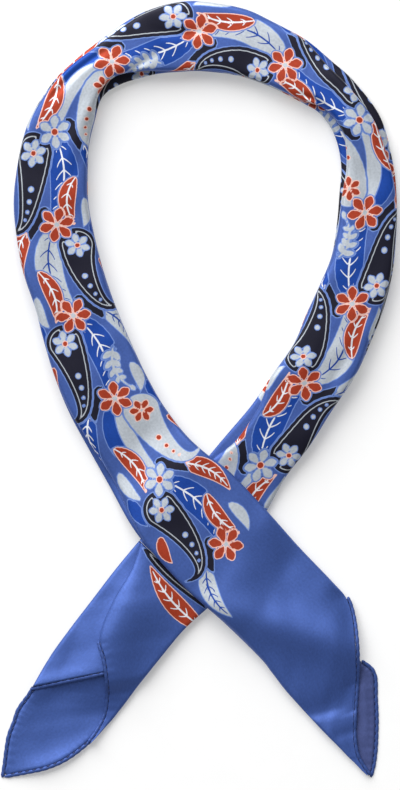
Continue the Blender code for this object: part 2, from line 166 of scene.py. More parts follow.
LEFT_FLAP = (
    # left_x, left_y, right_x, right_y
    (-33.2, -81.9, 1, -115.1),
    (-46.2, -97.6, -12.4, -126.9),
    (-58.6, -113.8, -24.6, -138),
    (-71, -130, -35, -142),
    (-82.4, -146.2, -40, -145.2),
    (-91, -161, -42, -150.3),
)
LEFT_FLAP_HEM_SHARE = 0.86
RIGHT_FLAP = (
    # left_x, left_y, right_x, right_y
    (-32.1, -82.8, 4.1, -118.1),
    (-37.5, -97.6, -8.9, -130),
    (-47.8, -115.4, -21.1, -144.6),
    (-54.4, -133, -32.7, -159.1),
    (-51.6, -144.6, -39, -167.4),
    (-49.8, -155.5, -43.4, -173.2),
    (-49.4, -166, -47.2, -178.2),
    (-51, -176.4, -51, -182.4),
    (-55.6, -185.6, -55.8, -187.8),
    (-59.6, -191, -59.6, -191.8),
)
RIGHT_FLAP_HEM_ROW = 3.2

# ---- Finer form that this script adds ----

BAND_STEP = 0.9
SAMPLES_PER_TABLE = 1200
# A section narrower than this is rounded less, in proportion.
FULL_SECTION_WIDTH = 30
# Share of the height where a groove parts the lower folds from the upper ones.
GROOVE_SHARE = 0.44
# One side of a band section, from the underside round to the top. The upper folds start
# behind the ledge. The last column is how many columns of the mesh lead to the point.
SECTION_SIDE = (
    # inward, height_share, is_upper, columns
    (7, 0, False, 1),
    (1.6, 0, False, 1),
    (0.3, 0.09, False, 1),
    (0, 0.24, False, 1),
    (0.6, 0.37, False, 2),
    (2.4, 0.44, True, 4),
    (0.5, 0.54, True, 2),
    (0.15, 0.74, True, 2),
    (1.1, 0.93, True, 3),
    (3.8, 0.985, True, 4),
    (10.5, 1, True, 6),
)
# The place of the groove among the control points of a section. The lower folds show another
# stretch of the print, further back and nearer the middle. Towards the end of the band they
# slide on to the bare cloth beside it.
GROOVE_CONTROL = 6
LOWER_PRINT_BACK = 75
LOWER_PRINT_INWARD = 12
LOWER_BARE_OUTWARD = 11
LOWER_PRINT_END = 440
LOWER_PRINT_FADE = 160
TOP_HALF_COLUMNS = 17
RAW_EDGE_SHARE = 0.485

# Creases pressed into each cloth, from one end through a middle point to the other.
# Depth is of a trough, negative for a ridge. Step lifts the cloth to the left of the line.
FOLDS = {
    # x1, y1, x2, y2, x3, y3, depth, half_width, step
    "band": (
        # upper left shoulder
        (-62, 128, -50, 160, -15, 186, 1.3, 2.4, 0.5),
        (-84, 150, -68, 170, -44, 186, 0.8, 2, -0.4),
        (-72, 112, -66, 140, -50, 168, -0.6, 4, 0),
        (-30, 196, -12, 192, 8, 196, 0.5, 3, 0),
        # upper right shoulder
        (52, 188, 80, 168, 101, 124, 1.7, 1.6, -0.9),
        (47, 160, 70, 148, 79, 112, 1.5, 1.6, 0.9),
        (60, 176, 80, 158, 90, 118, -0.5, 4, 0),
        (84, 128, 90, 104, 88, 74, 0.5, 3.4, 0),
        # right strand
        (34, -4, 20, -22, 6, -40, 1.6, 1.8, 0.5),
        (92, 52, 80, 20, 62, -8, 0.5, 3, 0),
        (66, 34, 54, 8, 40, -16, -0.4, 4, 0),
        # left strand
        (-68, -14, -52, -42, -34, -72, 1, 1.6, 0.5),
        (-84, 92, -78, 60, -66, 34, 0.5, 4, 0),
        (-62, 30, -48, 0, -30, -26, -0.4, 5, 0),
        # right tail
        (-6, -112, 54, -131, 116, -150, -2.5, 11, 0),
        (-6, -112, 54, -131, 116, -150, -3.3, 22, 0),
        (40, -186, 72, -171.5, 104, -153, 2, 8, 0),
        (104, -172.4, 76, -175.2, 46, -183.4, 0, 5.8, 1.25),
        (70, -189, 79, -186, 92, -182, 0.5, 3, 0),
    ),
    "right_tail_back": (
        (87, -152, 89.5, -172, 89, -196, -0.3, 2, 0),
    ),
    "left_tail_base": (
        (-98, -190, -92, -172, -78, -158, -0.4, 5, 0),
        (-88, -164.5, -66, -161.5, -42, -156, 0.6, 4.5, 0),
    ),
    "left_tail_left_flap": (
        (-70, -122, -74, -140, -84, -156, -0.4, 4, 0),
        (-40, -100, -54, -126, -58, -150, 0.5, 5, 0),
    ),
    "left_tail_right_flap": (
        (-14, -72, -43, -116, -51, -150, -0.7, 6, 0),
    ),
}

# How far the left tail stands off the ground, as soft swellings under all its layers.
LEFT_TAIL_LIFTS = (
    # x1, y1, x2, y2, x3, y3, height, half_width
    (-40, -186, -70, -203, -108, -216, 3.2, 9.5),
    (-16, -96, -46.5, -135, -56, -178, 5.6, 16),
    (-116, -166, -84, -159.5, -48, -151.5, 1.9, 6.6),
)
FOLD_POINTS = 16
FOLD_FADE = 1.6
# A crease is felt within this many half widths, or within the margin if that is more.
FOLD_REACH = 2.6
FOLD_MARGIN = 16
# The width over which a step rises, in half widths of its crease, and how far it runs out.
STEP_WIDTH = 1.2
STEP_REACH = 13

# Soft unevenness of the pressed silk: wavelengths along and across, phase and height.
RIPPLES = (
    # along, across, phase, height
    (46, 31, 0.4, 0.10),
    (-29, 22, 2.1, 0.06),
    (73, -40, 4, 0.12),
    (17, 90, 1.2, 0.04),
    (-21, 15, 5.3, 0.03),
)

# ---- Colours, linear ----

GROUND = (0.047, 0.098, 0.335)
# The rolled hems are coloured darker than the ground. This is painted shade on the rolls.
SHADED_HEM_GROUND = (0.037, 0.077, 0.265)
HALO = (0.150, 0.245, 0.570)
COBALT = (0.003, 0.049, 0.310)
NAVY = (0.004, 0.004, 0.016)
SILVER = (0.450, 0.490, 0.540)
RED = (0.345, 0.036, 0.010)
DULL_RED = (0.290, 0.036, 0.036)
PEACH = (0.820, 0.510, 0.440)
WHITE = (0.740, 0.760, 0.810)
WRONG_SIDE = (0.060, 0.084, 0.238)
THREAD = (0.014, 0.032, 0.140)
THREAD_SHADE = (0.008, 0.018, 0.080)

INK_COATS = (
    # ink, depth where it starts, colour
    ("dull", 0, DULL_RED),
    ("cobalt", -0.5, HALO),
    ("cobalt", 0, COBALT),
    ("navy", -0.5, HALO),
    ("navy", 0, NAVY),
    ("navy", 1.7, SILVER),
    ("navy", 2.2, NAVY),
    ("dark", -0.5, HALO),
    ("dark", 0, NAVY),
    ("silver", -0.45, HALO),
    ("silver", 0, SILVER),
    ("red", -0.45, PEACH),
    ("red", 0, RED),
    ("deep_line", 0, COBALT),
    ("deep_vein", 0, COBALT),
    ("white_line", 0, WHITE),
    ("white_vein", 0, WHITE),
)


# ---- Reading the tables ----


def smooth_step(value):
    """Ease from 0 to 1."""
    value = np.clip(value, 0, 1)
    return value * value * (3 - 2 * value)


def bell(distance, reach):
    """Fall softly from 1 in the middle to 0 far away."""
    return np.exp(-((distance / reach) ** 2))


def read_rows(table, places):
    """Read a table at places between its rows, on smooth curves through them."""
    rows = np.asarray(table, float)
    last = len(rows) - 1
    index = np.clip(np.asarray(places).astype(int), 0, last - 1)
    t = (places - index)[:, None]
    p0 = rows[np.maximum(index - 1, 0)]
    p1 = rows[index]
    p2 = rows[index + 1]
    p3 = rows[np.minimum(index + 2, last)]
    square = 2 * p0 - 5 * p1 + 4 * p2 - p3
    cube = 3 * p1 - p0 - 3 * p2 + p3
    return p1 + 0.5 * t * (p2 - p0 + t * (square + t * cube))


def run_length(points):
    """Distance along a line of points, from its first."""
    steps = np.linalg.norm(np.diff(points, axis=0), axis=-1)
    return np.concatenate((np.zeros((1,) + steps.shape[1:]), np.cumsum(steps, axis=0)))


def directions(points):
    """Unit direction of a line at each of its points."""
    along = np.gradient(points, axis=0)
    return along / np.linalg.norm(along, axis=1)[:, None]


def width_and_length(rows):
    """Width of each row between its left and right edges, and distance along their middle."""
    left, right = rows[:, 0:2], rows[:, 2:4]
    return np.linalg.norm(right - left, axis=1), run_length((left + right) / 2)


def places_along(table, spacing, first=0):
    """Evenly spaced places along a table to its end, by the length of its middle line."""
    fine = np.linspace(first, len(table) - 1, SAMPLES_PER_TABLE)
    _, length = width_and_length(read_rows(table, fine))
    count = max(2, round(length[-1] / spacing))
    return np.interp(np.linspace(0, length[-1], count + 1), length, fine)


def across_rows(rows, share):
    """X and Y at a share of the way from the left edge of each row to its right edge."""
    left, right = rows[:, 0:2], rows[:, 2:4]
    return [left[:, k:k + 1] + share * (right[:, k:k + 1] - left[:, k:k + 1]) for k in (0, 1)]


def side_of_line(start, end, x, y):
    """Distance from a line, positive to the left of its direction."""
    along_x = end[0] - start[0]
    along_y = end[1] - start[1]
    return (along_x * (y - start[1]) - along_y * (x - start[0])) / math.hypot(along_x, along_y)


def over_strand_floor(x, y):
    """Height of the underside of the strand that passes on top."""
    before = side_of_line(CROSSING_LEFT, CROSSING_TOP, x, y)
    after = side_of_line(CROSSING_RIGHT, CROSSING_BOTTOM, x, y)
    beyond = np.maximum(np.maximum(before, after), 0)
    over_crossing = CROSSING_LIFT * smooth_step(1 - beyond / CROSSING_RAMP)
    over_back_layer = LAYER_RISE * smooth_step((after - BACK_LAYER_START) / BACK_LAYER_RAMP)
    blended = over_crossing ** RAMP_BLEND_POWER + over_back_layer ** RAMP_BLEND_POWER
    return blended ** (1 / RAMP_BLEND_POWER)


# ---- Creases ----


def flat_points(x, y):
    return np.stack((x.ravel(), y.ravel()), axis=1)


def points_near(at, line, margin):
    """Which points lie inside the box round a line, made larger by a margin."""
    low, high = line.min(axis=0) - margin, line.max(axis=0) + margin
    return np.flatnonzero(((at > low) & (at < high)).all(axis=1))


def segments(line, at):
    """For each segment of a line: its number, the share along it nearest to each point, how far
    the point is past its ends, the distance, and the side, which is 1 on the left."""
    for k, run in enumerate(np.diff(line, axis=0)):
        away = at - line[k]
        share = away @ run / (run @ run)
        inside = np.clip(share, 0, 1)
        distance = np.hypot(*(away - inside[:, None] * run).T)
        side = np.where(run[0] * away[:, 1] - run[1] * away[:, 0] >= 0, 1, -1)
        yield k, inside, (share - inside) * math.hypot(*run), distance, side


def nearest_on_line(line, at):
    """Distance to a line of points, signed positive on its left, and the share along it."""
    best = np.full(len(at), np.inf)
    signed = np.zeros(len(at))
    share_along = np.zeros(len(at))
    for k, inside, _, distance, side in segments(line, at):
        closer = distance < best
        best = np.where(closer, distance, best)
        signed = np.where(closer, side * distance, signed)
        share_along = np.where(closer, (k + inside) / (len(line) - 1), share_along)
    return signed, share_along


def fold_line(curve):
    """Points on a smooth curve through its start, middle and end."""
    start, middle, end = np.reshape(curve, (3, 2))
    handle = 2 * middle - (start + end) / 2
    t = np.linspace(0, 1, FOLD_POINTS)[:, None]
    return (1 - t) ** 2 * start + 2 * t * (1 - t) * handle + t ** 2 * end


def across_fold(line, at):
    """Signed distance from a fold, and how strong the fold is there: it fades at its ends."""
    signed, share = nearest_on_line(line, at)
    return signed, smooth_step(FOLD_FADE * (1 - np.abs(2 * share - 1)))


def crease_relief(x, y, folds):
    """Height that the creases add at each point."""
    at = flat_points(x, y)
    height = np.zeros(len(at))
    for *curve, depth, half_width, step in folds:
        line = fold_line(curve)
        near = points_near(at, line, max(FOLD_MARGIN, FOLD_REACH * half_width))
        signed, strength = across_fold(line, at[near])
        height[near] -= depth * strength * bell(signed, half_width)
        rise = smooth_step(0.5 + signed / (STEP_WIDTH * half_width))
        height[near] += step * strength * rise * np.exp(-np.maximum(signed, 0) / STEP_REACH)
    return height.reshape(x.shape)


def ripple(along, across):
    """Soft unevenness of the cloth."""
    height = 0
    for wave_along, wave_across, phase, size in RIPPLES:
        angle = 2 * math.pi * (along / wave_along + across / wave_across) + phase
        height = height + size * np.sin(angle)
    return height


# ---- Meshes ----


def grid_faces(rows, columns, is_ring):
    """Four-cornered faces between rows of points, closed round each row if it is a ring."""
    index = np.arange(rows * columns).reshape(rows, columns)
    right = np.roll(index, -1, axis=1)
    if not is_ring:
        index, right = index[:, :-1], right[:, :-1]
    corners = (index[:-1], right[:-1], right[1:], index[1:])
    return np.stack(corners, axis=-1).reshape(-1, 4)


def tube_faces(rows, sides, first=0):
    """Faces of a tube with closed ends, whose points start at a number."""
    start_cap = np.arange(first, first + sides)
    end_cap = start_cap + (rows - 1) * sides
    around = (grid_faces(rows, sides, True) + first).tolist()
    return around + [start_cap[::-1].tolist(), end_cap.tolist()]


def tube_points(path, side, up, sides):
    """Rings of points round a path. Side and up are a ring's two half widths."""
    angle = (2 * math.pi * np.arange(sides) / sides)[None, :, None]
    return path[:, None, :] + np.cos(angle) * side[:, None, :] + np.sin(angle) * up[:, None, :]


def add_object(name, data):
    """A new object in the scene."""
    item = bpy.data.objects.new(name, data)
    bpy.context.scene.collection.objects.link(item)
    return item


def add_mesh(name, points, faces, material, in_cloth=None, fields=()):
    """A smooth mesh object from points in millimetres, with its places in the flat cloth as UVs
    and its print as attributes."""
    mesh = bpy.data.meshes.new(name)
    mesh.from_pydata((points.reshape(-1, 3) * MM).tolist(), [], faces)
    mesh.materials.append(material)
    mesh.shade_smooth()
    if in_cloth is not None:
        corner_vertices = np.empty(len(mesh.loops), np.int32)
        mesh.loops.foreach_get("vertex_index", corner_vertices)
        layer = mesh.uv_layers.new(name="cloth")
        layer.data.foreach_set("uv", (in_cloth.reshape(-1, 2) * MM)[corner_vertices].ravel())
    for key in fields:
        attribute = mesh.attributes.new(key, "FLOAT", "POINT")
        attribute.data.foreach_set("value", fields[key].astype(np.float32))
    return add_object(name, mesh)


# ---- The band ----


def side_controls(width, ledge, upper_width):
    """Control points from a raw edge under the band round one side to its top: the share of the
    width from that side, and the share of the height."""
    full = np.ones_like(width)
    controls = [(RAW_EDGE_SHARE * full, 0 * full)]
    for inward, up, is_upper, _ in SECTION_SIDE:
        size = np.minimum(1, (upper_width if is_upper else width) / FULL_SECTION_WIDTH)
        controls.append(((inward * size + is_upper * ledge) / width, up * full))
    return controls


def section_controls(width, inner_ledge, outer_ledge):
    """Control points of every band section, from one raw edge under it round to the other."""
    upper_width = width - inner_ledge - outer_ledge
    inner = side_controls(width, inner_ledge, upper_width)
    outer = [(1 - share, up) for share, up in side_controls(width, outer_ledge, upper_width)]
    middle = ((width + inner_ledge - outer_ledge) / 2 / width, np.ones_like(width))
    return np.array(inner + [middle] + outer[::-1])


def section_places():
    """Where the mesh's columns lie between the control points, and the top middle's column."""
    counts = [columns for *_, columns in SECTION_SIDE] + [TOP_HALF_COLUMNS]
    places = [k + np.arange(count) / count for k, count in enumerate(counts + counts[::-1])]
    return np.append(np.concatenate(places), 2 * len(counts)), sum(counts)


def band_points(rows, places, columns, front_hem):
    """Points of the cloth that is wrapped round the band, and the distance along the band."""
    width, length = width_and_length(rows)
    controls = section_controls(width, *np.maximum(rows[:, 5:7], 0).T)
    sections = read_rows(controls.reshape(len(controls), -1), columns)
    across, up = sections.reshape(len(columns), 2, -1).T.swapaxes(0, 1)
    x, y = across_rows(rows, across)
    along = length[:, None] + np.zeros_like(x)
    relief = crease_relief(x, y, FOLDS["band"]) + ripple(along, across * width[:, None])
    relief = relief + hem_relief(x, y, [front_hem])
    share_of_top = np.clip((up - GROOVE_SHARE) / (1 - GROOVE_SHARE), 0, 1) ** 2
    z = np.maximum(rows[:, 4:5] * up, 0) + relief * share_of_top
    is_over = places[:, None] > OVER_STRAND_ROW
    z = z + np.where(is_over, over_strand_floor(x, y), 0)
    z = settle_to_hem(x, y, z, up > GROOVE_SHARE, front_hem)
    return np.stack((x, y, z), axis=-1), along


def build_band_grid(front_hem):
    """The wrapped cloth of the band: its points, and their places in the cloth."""
    places = places_along(BAND, BAND_STEP)
    columns, middle = section_places()
    points, along = band_points(read_rows(BAND, places), places, columns, front_hem)
    round_section = run_length(points.swapaxes(0, 1)).T
    from_middle = round_section - round_section[:, middle:middle + 1]
    is_upper = (columns > GROOVE_CONTROL) & (columns < columns[-1] - GROOVE_CONTROL)
    bare = smooth_step((along - LOWER_PRINT_END) / LOWER_PRINT_FADE)
    outward = LOWER_BARE_OUTWARD * bare - LOWER_PRINT_INWARD * (1 - bare)
    across = from_middle + np.where(is_upper, 0, outward) * np.sign(from_middle)
    back = np.where(is_upper, 0, LOWER_PRINT_BACK * (1 - bare))
    return points, np.stack((along - back, across), axis=-1)


# ---- The single layers of the tails ----

LAYER_STEP = 1.1
LAYER_RIPPLE = 0.6
# A layer narrower than this is rounded less at its edges, in proportion.
LAYER_FULL_WIDTH = 10
# Round a layer's section, from its left edge under it to its right edge and back over it:
# the share of the width, how far in from the nearer edge, and the share of the height.
LAYER_UNDER = ((0.35, 0.12), (1.4, 0))
LAYER_OVER = ((0.2, 0.72), (0.8, 0.93), (2, 1))
LAYER_EDGE_HEIGHT = 0.45
# How many columns of the upper face go to one of the underside.
LAYER_UNDER_COARSER = 4


def half_section(side, count):
    """One face of a layer's section, from its left edge to just short of its right one."""
    *rounded, (inset, level) = side
    half = [(0, 0, LAYER_EDGE_HEIGHT)]
    half += [(0, inward, up) for inward, up in rounded]
    half += [(k / count, inset * (1 - 2 * k / count), level) for k in range(count + 1)]
    half += [(1, -inward, up) for inward, up in rounded[::-1]]
    return np.array(half)


def layer_section(columns):
    """Share of the width, distance in and share of the height, round a layer's section."""
    under = half_section(LAYER_UNDER, max(2, columns // LAYER_UNDER_COARSER))
    over = half_section(LAYER_OVER, columns)
    from_right = (1, 0, 0) + over * (-1, -1, 1)
    return np.concatenate((under, from_right))


def add_layer(node, table, bottom_of, swell_of, hems, material, motifs):
    """A single layer of cloth, closed all round."""
    rows = read_rows(table, places_along(table, LAYER_STEP))
    width, length = width_and_length(rows)
    fraction, inward, up = layer_section(round(float(width.max()) / LAYER_STEP)).T
    share = fraction + inward * (np.minimum(1, width / LAYER_FULL_WIDTH) / width)[:, None]
    x, y = across_rows(rows, share)
    bottom = bottom_of(x, y)
    relief = crease_relief(x, y, FOLDS[node]) + LAYER_RIPPLE * ripple(x + y, x - y)
    relief = relief + hem_relief(x, y, hems)
    z = bottom + (SHEET_THICKNESS + swell_of(x, y)) * up + relief * up ** 2
    points = np.stack((x, y, np.maximum(z, bottom)), axis=-1)
    along = length[:, None] + np.zeros_like(x)
    in_cloth = np.stack((along, (share - 0.5) * width[:, None]), axis=-1)
    fields = print_fields(points[:, :, :2], motifs) if motifs else {}
    return add_mesh(node + "_cloth", points, tube_faces(*x.shape), material, in_cloth, fields)


def nothing(x, y):
    """The height of the ground, and the swell of a layer that lies flat."""
    return 0 * x


def base_bottom(x, y):
    """The left corner's own layer stands off the ground in soft swellings."""
    at = flat_points(x, y)
    height = np.zeros(len(at))
    for *curve, rise, half_width in LEFT_TAIL_LIFTS:
        signed, strength = across_fold(fold_line(curve), at)
        height += rise * strength * bell(signed, half_width)
    return height.reshape(x.shape)


def left_flap_bottom(x, y):
    return base_bottom(x, y) + LAYER_RISE


def left_flap_swell(x, y):
    """The left flap swells a little along its fold."""
    from_fold = side_of_line(LEFT_FLAP[1][:2], LEFT_FLAP[-1][:2], x, y)
    return LEFT_FLAP_SWELL * smooth_step(1 - from_fold / LEFT_FLAP_SWELL_REACH)


def right_flap_bottom(x, y):
    """The right flap lies on the left one, and drops to the corner's own layer past its hem."""
    past_edge = side_of_line(LEFT_FLAP[-1][2:], LEFT_FLAP[-1][:2], x, y)
    step = smooth_step((past_edge - FLAP_DROP_START) / FLAP_DROP_LENGTH)
    return left_flap_bottom(x, y) + LEFT_FLAP_LIFT * (1 - step)


def right_flap_swell(x, y):
    """The right flap holds more hidden folds, and is thicker towards the crossing."""
    down_tail = -side_of_line(CROSSING_BOTTOM, CROSSING_LEFT, x, y)
    return RIGHT_FLAP_SWELL * smooth_step(1 - down_tail / RIGHT_FLAP_SWELL_REACH)


def front_layer_bottom(x, y):
    """The free edge of the front layer rises with the ridges that run out to it."""
    return LAYER_RISE + np.maximum(crease_relief(x, y, FOLDS["band"]), 0)


# ---- Hand-rolled hems ----

HEM_STEP = 4
# Relief near a hem is worked out from every fourth point of its line.
HEM_SKIP = 4
STITCH_PITCH = 4
ROLL_STEP = 0.5
ROLL_SIDES = 14
ROLL_OFFSET = 0.95
ROLL_HALF_WIDTH = 1.1
ROLL_HALF_HEIGHT = 0.6
ROLL_UP = np.array((0, 0, ROLL_HALF_HEIGHT))
ROLL_PINCH = 0.17
ROLL_PINCH_WIDTH = 0.75
# The roll's size at its ends, and how far along its taper the end already is.
ROLL_END = 0.3
ROLL_END_START = 0.3
ROLL_UNEVEN = 0.03
ROLL_UNEVEN_LENGTH = 2.9
HEM_DIP = 0.1
HEM_DIP_REACH = 2.4
PUCKER = 0.13
PUCKER_REACH = 4.5
# Towards the hem of the right tail the cloth comes down to just under the top of the roll.
HEM_SETTLE_REACH = 8
HEM_SETTLE_UNDER = 0.1
# The stitches: degrees up the roll at each point, and how far they slant along it.
STITCH_ARC = (18, 34, 42, 46, 40)
STITCH_SLANT = 2.2
STITCH_STANDS_OFF = 0.93
STITCH_END_GAP = 1
THREAD_RADIUS = 0.26
THREAD_SIDES = 6


def side_edge(table, first, is_right):
    """Points along one side of a layer to its tip, with the points across from them."""
    rows = read_rows(table, places_along(table, HEM_STEP, first))
    left, right = rows[:, 0:2], rows[:, 2:4]
    return (right, left) if is_right else (left, right)


def end_edge(table, last_share):
    """Points along the last row of a layer, with the points before them up the layer."""
    before, row = np.array(table[-2:])
    width = math.dist(row[:2], row[2:4])
    share = np.linspace(0, last_share, round(last_share * width / HEM_STEP) + 1)[:, None]
    return row[:2] + share * (row[2:4] - row[:2]), before[:2] + share * (before[2:4] - before[:2])


def right_side(along):
    """Unit vectors to the right of flat directions."""
    return np.stack((along[:, 1], -along[:, 0]), axis=1)


def hem_line(edge, run_back, run_on):
    """The middle line of a hem, beside the cloth's edge, made longer at its start and end."""
    points, inside = edge
    outward = right_side(directions(points))
    faces_in = np.sum(outward * (inside - points), axis=1) > 0
    outward[faces_in] *= -1
    line = points + outward * ROLL_OFFSET
    for end, beside, extra in ((0, 1, run_back), (-1, -2, run_on)):
        away = line[end] - line[beside]
        added = line[end] + away / np.linalg.norm(away) * extra
        if extra > 0:
            line = np.vstack((added, line) if end == 0 else (line, added))
    count = round(run_length(line)[-1] / ROLL_STEP)
    return read_rows(line, np.linspace(0, len(line) - 1, count + 1))


def pinch(distance):
    """How tightly the thread draws the roll together: 1 at each stitch, 0 between them."""
    return bell(np.mod(distance, STITCH_PITCH) - STITCH_PITCH / 2, ROLL_PINCH_WIDTH)


def hem_relief(x, y, hems):
    """The cloth dips towards each hem and puckers between its stitches."""
    height = np.zeros_like(x)
    at = flat_points(x, y)
    for line in hems:
        near = points_near(at, line, FOLD_MARGIN)
        coarse = line[::HEM_SKIP]
        signed, share = nearest_on_line(coarse, at[near])
        loose = 1 - 2 * pinch(share * run_length(coarse)[-1])
        dip = -HEM_DIP * bell(signed, HEM_DIP_REACH)
        height.reshape(-1)[near] += dip + PUCKER * loose * bell(signed, PUCKER_REACH)
    return height


def settle_to_hem(x, y, z, is_upper, line):
    """Bring the upper side of the cloth down to the roll of its hem."""
    signed, _ = nearest_on_line(line[::HEM_SKIP], flat_points(x, y))
    nearness = bell(signed, HEM_SETTLE_REACH).reshape(x.shape)
    level = front_layer_bottom(x, y) + 2 * ROLL_HALF_HEIGHT - HEM_SETTLE_UNDER
    return np.where(is_upper, z - np.maximum(z - level, 0) * nearness, z)


def roll_frame(line, bottom_of):
    """Centre points of a roll, the direction across it, and the distance along it."""
    centre = np.column_stack((line, bottom_of(*line.T) + ROLL_HALF_HEIGHT))
    across = np.column_stack((right_side(directions(line)), np.zeros(len(line))))
    return centre, across, run_length(centre)


def add_roll(name, line, bottom_of, material):
    """A hand-rolled hem: a soft tube drawn in at each stitch and closed at its ends."""
    centre, across, distance = roll_frame(line, bottom_of)
    from_end = np.minimum(distance, distance[-1] - distance)
    taper_in = smooth_step(ROLL_END_START + from_end / (2 * HEM_RADIUS))
    uneven = ROLL_UNEVEN * (1 + np.sin(distance / ROLL_UNEVEN_LENGTH))
    size = (ROLL_END + (1 - ROLL_END) * taper_in) * (1 - ROLL_PINCH * pinch(distance) - uneven)
    side, up = across * ROLL_HALF_WIDTH * size[:, None], ROLL_UP * size[:, None]
    points = tube_points(centre, side, up, ROLL_SIDES)
    around = 2 * math.pi * np.arange(ROLL_SIDES) / ROLL_SIDES * HEM_RADIUS
    in_cloth = np.stack(np.meshgrid(distance, around, indexing="ij"), axis=-1)
    return add_mesh(name, points, tube_faces(*points.shape[:2]), material, in_cloth)


def stitch_paths(line, bottom_of, cloth_is_left):
    """The small slanting stitches over a hem: centre lines of thread, one row for each."""
    centre, across, distance = roll_frame(line, bottom_of)
    toward_cloth = -across if cloth_is_left else across
    place = np.arange(STITCH_PITCH / 2, distance[-1] - STITCH_END_GAP, STITCH_PITCH)
    at = place[:, None] + STITCH_SLANT * np.linspace(-0.5, 0.5, len(STITCH_ARC))
    turn = np.radians(STITCH_ARC)[:, None]

    def read(values):
        return np.stack([np.interp(at, distance, column) for column in values.T], axis=-1)

    out = np.cos(turn) * read(toward_cloth) * ROLL_HALF_WIDTH + np.sin(turn) * ROLL_UP
    return read(centre) + out * STITCH_STANDS_OFF


def add_stitches(name, paths, material):
    """All the stitches as one mesh of short tubes."""
    points = []
    faces = []
    for path in paths:
        along = directions(path)
        side = np.cross(along, (0, 0, 1))
        side /= np.linalg.norm(side, axis=1)[:, None]
        up = np.cross(side, along)
        faces += tube_faces(len(path), THREAD_SIDES, len(points) * THREAD_SIDES * len(path))
        points.append(tube_points(path, side * THREAD_RADIUS, up * THREAD_RADIUS, THREAD_SIDES))
    return add_mesh(name, np.array(points), faces, material)


# ---- The print: an ordinary scroll of leaves, paisleys and flowers ----

FILL_INKS = ("dull", "cobalt", "dark", "navy", "silver", "red")
LINE_INKS = ("deep_line", "white_line", "deep_vein", "white_vein")
# Depth in a filled shape far outside it, and how far off a fine line its distance is kept.
BARE = -40.0
LINE_REACH = 2.0
STROKE_POINTS = 15
INK_MARGIN = 3
# Each motif keeps this much bare cloth round it, in what was printed before.
KNOCK_OUT = 1.1
# The plain border starts at this X, on the strand that lies past this distance along the
# band. Motifs keep this clear of it.
PRINT_END_X = 33
PRINT_END_FROM = 600
BORDER_CLEARANCE = 1.5

LEAF_FULLNESS = 0.8
LEAF_ROUNDNESS = 0.9
# The half width of a leaf's midrib at its ends and in its middle.
MIDRIB = (0.25, 0.48)
# Side veins: where they start and how far they spread along the midrib, their half widths
# from root to tip, and at elbow and tip the degrees outward and the share of the leaf's own.
VEINS_START = 0.14
VEINS_SPREAD = 0.64
VEIN_WIDTHS = np.linspace(0.36, 0.18, 6)
VEIN_BENDS = ((52, 0.55), (40, 0.95))
SPLIT_GAP = 0.3
# A spray: its stem's half widths at the ends and in the middle, where the leaflets start and
# how far they spread along it, how much they shrink up to its tip, how many degrees they
# turn outward, and the length and half width of the one at the tip.
SPRAY_STEM = (0.35, 0.6)
SPRAY_START = 0.1
SPRAY_SPREAD = 0.8
SPRAY_SHRINK = 0.5
SPRAY_TURN = 46
SPRAY_END_LEAF = (4.5, 1.3)
# A leaflet starts this far off the stem, and its half width is a share of its length.
LEAFLET_START = 0.8
LEAFLET_WIDTH = 0.25
LEAFLET_FULLNESS = 0.75
LEAFLET_POINTS = 7
SMALL_LEAF_POINTS = 9
DOT_LENGTH = 0.01
PETALS = 6
# Along a petal: the way out from the blossom's heart and the half width, as shares of its radius.
PETAL = ((0.24, 0.05), (0.5, 0.19), (0.74, 0.27), (0.93, 0.15))
BLOSSOM_HEART = 0.2
PAISLEY_CURL = 14
# The paisley's handles, as shares of its length and curl.
PAISLEY_HANDLES = ((0, 0), (0.4, -0.3), (0.98, -0.1), (0.8, 1))
PAISLEY_TIP = 0.3
PAISLEY_TAPER = 1.15
PAISLEY_FLOWER = 0.62
# The share of the way along the paisley, and the radius of the dot there.
PAISLEY_DOTS = ((0.30, 1.3), (0.41, 1.05), (0.51, 0.8), (0.60, 0.6))
CELL_LENGTH = 50
VINE_SWING = 9
VINE_RADIUS = 0.75
VINE_LINE_RADIUS = 0.4
VINE_LINE_AWAY = (0, -2.3)


def bezier(handles, count=STROKE_POINTS):
    """Points on a Bezier curve."""
    t = np.linspace(0, 1, count)[:, None]
    points = [np.array(handle, float) + np.zeros((count, 2)) for handle in handles]
    while len(points) > 1:
        points = [a + t * (b - a) for a, b in zip(points, points[1:])]
    return points[0]


def heading(degrees):
    return np.array((math.cos(math.radians(degrees)), math.sin(math.radians(degrees))))


def on_spine(spine, share):
    """A point on a spine, and the spine's direction there in degrees."""
    place = share * (len(spine) - 1)
    k = min(int(place), len(spine) - 2)
    run = spine[k + 1] - spine[k]
    return spine[k] + (place - k) * run, math.degrees(math.atan2(run[1], run[0]))


def leaf_spine(length, bend):
    return bezier(((0, 0), (length / 3, bend), (length * 2 / 3, bend), (length, 0)))


def leaf_radii(widest, count=STROKE_POINTS, fullness=LEAF_FULLNESS):
    t = np.linspace(0, 1, count)
    return widest * np.sin(np.pi * t ** fullness) ** LEAF_ROUNDNESS


def stem_radii(ends, middle, count=STROKE_POINTS):
    return ends + (middle - ends) * np.sin(np.pi * np.linspace(0, 1, count))


def dot(ink, centre, radius):
    """A round spot, as a very short stroke."""
    ends = np.array(((0, 0), (DOT_LENGTH, DOT_LENGTH)))
    return (ink, centre + ends, np.array((radius, radius)))


